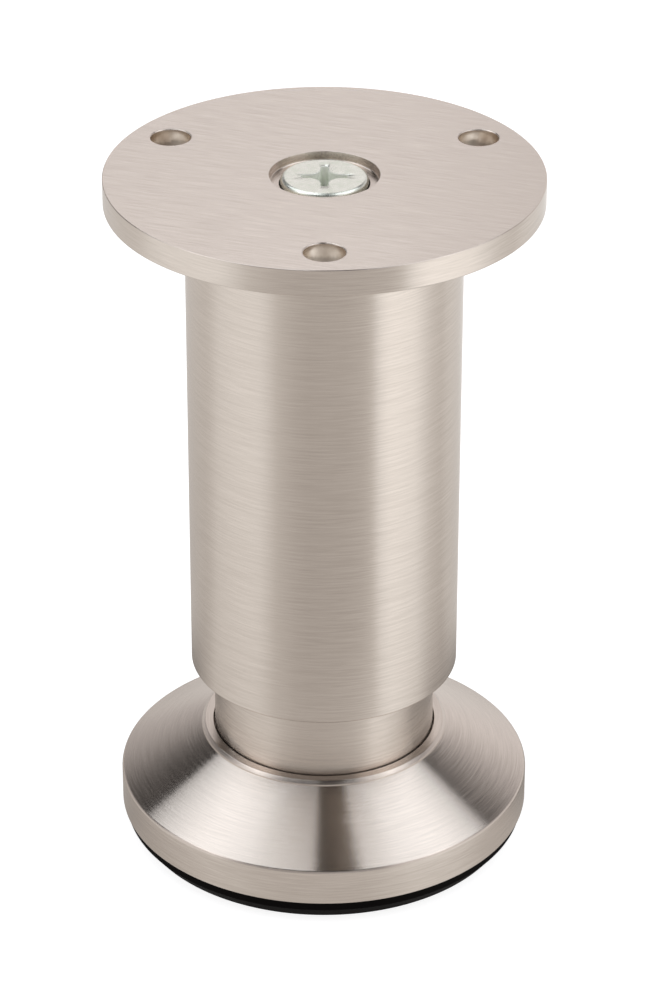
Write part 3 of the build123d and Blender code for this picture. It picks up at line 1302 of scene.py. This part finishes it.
@dataclass(frozen=True)
class Floor:
    """The white floor, and a glowing disc above it that only mirrors see, whose sectors are painted
    reflections.
    """

    # The foot stands on the floor in every pose, so the floor follows what slides with the foot.
    body: str = "sleeve"
    half_width: float = 6.0
    drop: float = 0.02 * MM
    colour: str = "#BDBDBD"
    glow: float = 0.86
    mirrored_radius: float = 3.0
    mirrored_sides: int = 64
    # Warm tint of the darker painted reflections, and the brightness up to which it is full and from which
    # it is gone
    shade: str = "#FFF9F4"
    shade_full: float = 0.5
    shade_gone: float = 0.95
    # Azimuth in degrees, from the front to the right, and the painted reflection that the tube, sleeve and
    # rim mirror there
    tube_painted_reflection: Stops = (
        (-180, 1.0), (-168, 1.0), (-158, 0.72), (-150, 0.66), (-122, 0.67), (-110, 0.68), (-102, 0.74),
        (-94, 0.84), (-74, 0.9), (-56, 0.92), (-51, 0.91), (-44, 0.82), (-37, 0.69), (-30, 0.635),
        (-22, 0.58), (-12, 0.545), (16, 0.56), (30, 0.605), (35, 0.65), (38, 0.71), (45, 1.0),
        (52, 1.13), (60, 1.14), (76, 1.07), (94, 0.77), (107, 0.67), (118, 0.75), (146, 0.76),
        (158, 0.88), (168, 1.0), (180, 1.0),
    )
    sleeve_painted_reflection: Stops = (
        (-180, 0.18), (-124, 0.18), (-94, 0.61), (-67, 0.8), (-46, 0.825), (-22, 0.66), (0, 0.68),
        (24, 0.8), (36, 0.94), (46, 1.05), (56, 0.99), (68, 0.76), (90, 0.22), (115, 0.15), (180, 0.15),
    )
    rim_painted_reflection: Stops = (
        (-180, 0.6), (-125, 0.58), (-100, 0.46), (-84, 0.4), (-75, 0.44), (-63, 0.5), (-46, 0.6),
        (-30, 0.68), (-15, 0.605), (14, 0.6), (30, 0.76), (46, 0.72), (63, 0.57), (80, 0.52),
        (100, 0.35), (120, 0.45), (180, 0.45),
    )
    # Distance in millimetres and the share of the tube's or the sleeve's painted reflection there
    tube_share: Stops = ((0, 0.0), (70, 0.0), (88, 1.0), (200, 1.0))
    sleeve_share: Stops = ((0, 0.0), (52, 0.0), (60, 1.0), (100, 1.0))
    # Distance in millimetres and the factor on the tube's painted reflection there
    falloff: Stops = ((0, 0.885), (100, 0.885), (190, 0.98), (290, 1.1), (400, 1.1))

    def build(self) -> None:
        """Lay the floor, and above it the disc of painted reflections that only mirrors see."""
        size = self.half_width
        outline = [(-size, -size), (size, -size), (size, size), (-size, size)]
        mesh = bpy.data.meshes.new("floor")
        mesh.from_pydata([(x, y, -self.drop) for x, y in outline], [], [(0, 1, 2, 3)])
        floor = placed("floor", mesh)
        floor.visible_glossy = False
        material, tree, output = new_material("white_paper_floor")
        paper = add_node(tree, "ShaderNodeBsdfDiffuse", {"Color": linear(self.colour)})
        seen = add_node(tree, "ShaderNodeLightPath").outputs["Is Camera Ray"]
        strength = add_node(tree, "ShaderNodeMath", {0: seen, 1: self.glow}, operation="MULTIPLY")
        glow = add_node(tree, "ShaderNodeEmission", {"Strength": strength.outputs[0]})
        both = add_node(tree, "ShaderNodeAddShader", {0: paper.outputs[0], 1: glow.outputs[0]})
        tree.links.new(both.outputs[0], output.inputs[0])
        mesh.materials.append(material)
        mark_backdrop(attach(floor, self.body))
        self.lay_painted_reflections()

    def lay_painted_reflections(self) -> None:
        """Lay the glowing disc that only mirrors show, whose sectors paint the reflections on tube, sleeve
        and rim.
        """
        count = self.mirrored_sides
        angles = [math.tau * step / count for step in range(count)]
        radius = self.mirrored_radius
        outline = [(radius * math.cos(angle), radius * math.sin(angle), self.drop) for angle in angles]
        mesh = bpy.data.meshes.new("painted_reflection_disc")
        mesh.from_pydata(outline, [], [tuple(range(count))])
        mirrored = placed("painted_reflection_disc", mesh)
        material, tree, output = new_material("painted_reflection_glow")
        place = add_node(tree, "ShaderNodeTexCoord").outputs["Object"]
        azimuth = azimuth_of(tree, place)
        distance = add_node(tree, "ShaderNodeVectorMath", {0: place}, operation="LENGTH").outputs["Value"]
        outer = add_node(
            tree,
            "ShaderNodeMath",
            {0: ramp(tree, azimuth, self.tube_painted_reflection), 1: ramp(tree, distance, self.falloff, MM)},
            operation="MULTIPLY",
        ).outputs[0]
        rim, sleeve = (ramp(tree, azimuth, stops) for stops in (self.rim_painted_reflection, self.sleeve_painted_reflection))
        level = blend(tree, ramp(tree, distance, self.sleeve_share, MM), rim, sleeve)
        level = blend(tree, ramp(tree, distance, self.tube_share, MM), level, outer)
        # The darker painted reflections take the warm tint.
        window = {1: self.shade_full, 2: self.shade_gone, 3: 0.0, 4: 1.0}
        light = add_node(tree, "ShaderNodeMapRange", {0: level, **window})
        colour = add_node(
            tree,
            "ShaderNodeMix",
            {0: light.outputs[0], 6: linear(self.shade), 7: linear(WHITE)},
            data_type="RGBA",
        )
        # The disc glows with painted reflections: its brightness is what the tube, sleeve and rim mirror in
        # each sector.
        glow = add_node(tree, "ShaderNodeEmission", {"Color": colour.outputs[2], "Strength": level})
        tree.links.new(glow.outputs[0], output.inputs[0])
        mesh.materials.append(material)
        mirrored.visible_camera = False
        mirrored.visible_diffuse = False
        mirrored.visible_transmission = False
        mirrored.visible_shadow = False
        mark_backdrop(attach(mirrored, self.body))


@dataclass(frozen=True)
class View:
    """The photograph's camera, found from the ellipses of plate, tube and foot."""

    distance: float = 0.732
    elevation: float = math.radians(29.17)
    lens: float = 140.0
    film_height: float = 36.0
    pitch_up: float = math.radians(0.076)
    yaw_right: float = math.radians(0.02)
    roll: float = math.radians(-0.07)

    def build(self) -> None:
        """Set up the camera, aimed at the middle of the leg's height."""
        low, high = cad_bounds
        middle = Vector((0.0, 0.0, (low[2] + high[2]) / 2))
        away = Vector((0.0, -math.cos(self.elevation), math.sin(self.elevation)))
        dip = self.elevation - self.pitch_up
        forward = Vector((0.0, math.cos(dip), -math.sin(dip)))
        right = Vector((1.0, 0.0, 0.0))
        aim = forward * math.cos(self.yaw_right) + right * math.sin(self.yaw_right)
        side = right * math.cos(self.yaw_right) - forward * math.sin(self.yaw_right)
        up = side.cross(aim)
        rolled_side = side * math.cos(self.roll) - up * math.sin(self.roll)
        rolled_up = side * math.sin(self.roll) + up * math.cos(self.roll)
        turn = Matrix((rolled_side, rolled_up, -aim)).transposed().to_4x4()
        data = bpy.data.cameras.new("camera")
        data.lens = self.lens
        # With this fit the sensor's width lies along the longer side, here the picture's height.
        data.sensor_width = self.film_height
        data.sensor_fit = "AUTO"
        camera = bpy.data.objects.new("camera", data)
        camera.matrix_world = Matrix.Translation(middle + away * self.distance) @ turn
        bpy.context.scene.collection.objects.link(camera)
        bpy.context.scene.camera = camera


@dataclass(frozen=True)
class Studio:
    """Everything round the leg: floor, tent, lights and camera."""

    floor: Floor = Floor()
    surround: Surround = Surround()
    view: View = View()
    softboxes: tuple[Softbox, ...] = (
        Softbox("softbox_left", left=-0.93, right=-0.04, near=-0.34, far=0.69),
        Softbox("softbox_right", left=0.161, right=0.95, near=-0.34, far=0.48),
    )

    def build(self) -> None:
        """Set up the studio."""
        self.floor.build()
        self.surround.build()
        for softbox in self.softboxes:
            softbox.build()
        self.view.build()
        bpy.context.scene.view_settings.view_transform = "Standard"


def corners_of(box: tuple[Sequence[float], Sequence[float]]) -> Iterator[list[float]]:
    """Give a box's two corners as plain lists.

    Args:
        box: The lowest and the highest corner.

    Yields:
        Each corner.
    """
    for corner in box:
        yield [float(value) for value in corner]


def write_sizes() -> None:
    """Work out the frame's box and the dressed leg's box."""
    sizes = {"cad": list(corners_of(cad_bounds)), "visual": list(corners_of(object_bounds()))}


def main() -> None:
    """Build the leg from the top down, then the studio."""
    wardrobe = Wardrobe()
    for kind in (MountingPlate, PlateScrew, LegTube, Sleeve, FootFlange, FootPad):
        kind(wardrobe).build()
    InnerWorks(wardrobe).build()
    Studio().build()
    write_sizes()


if __name__ == "__main__":
    main()
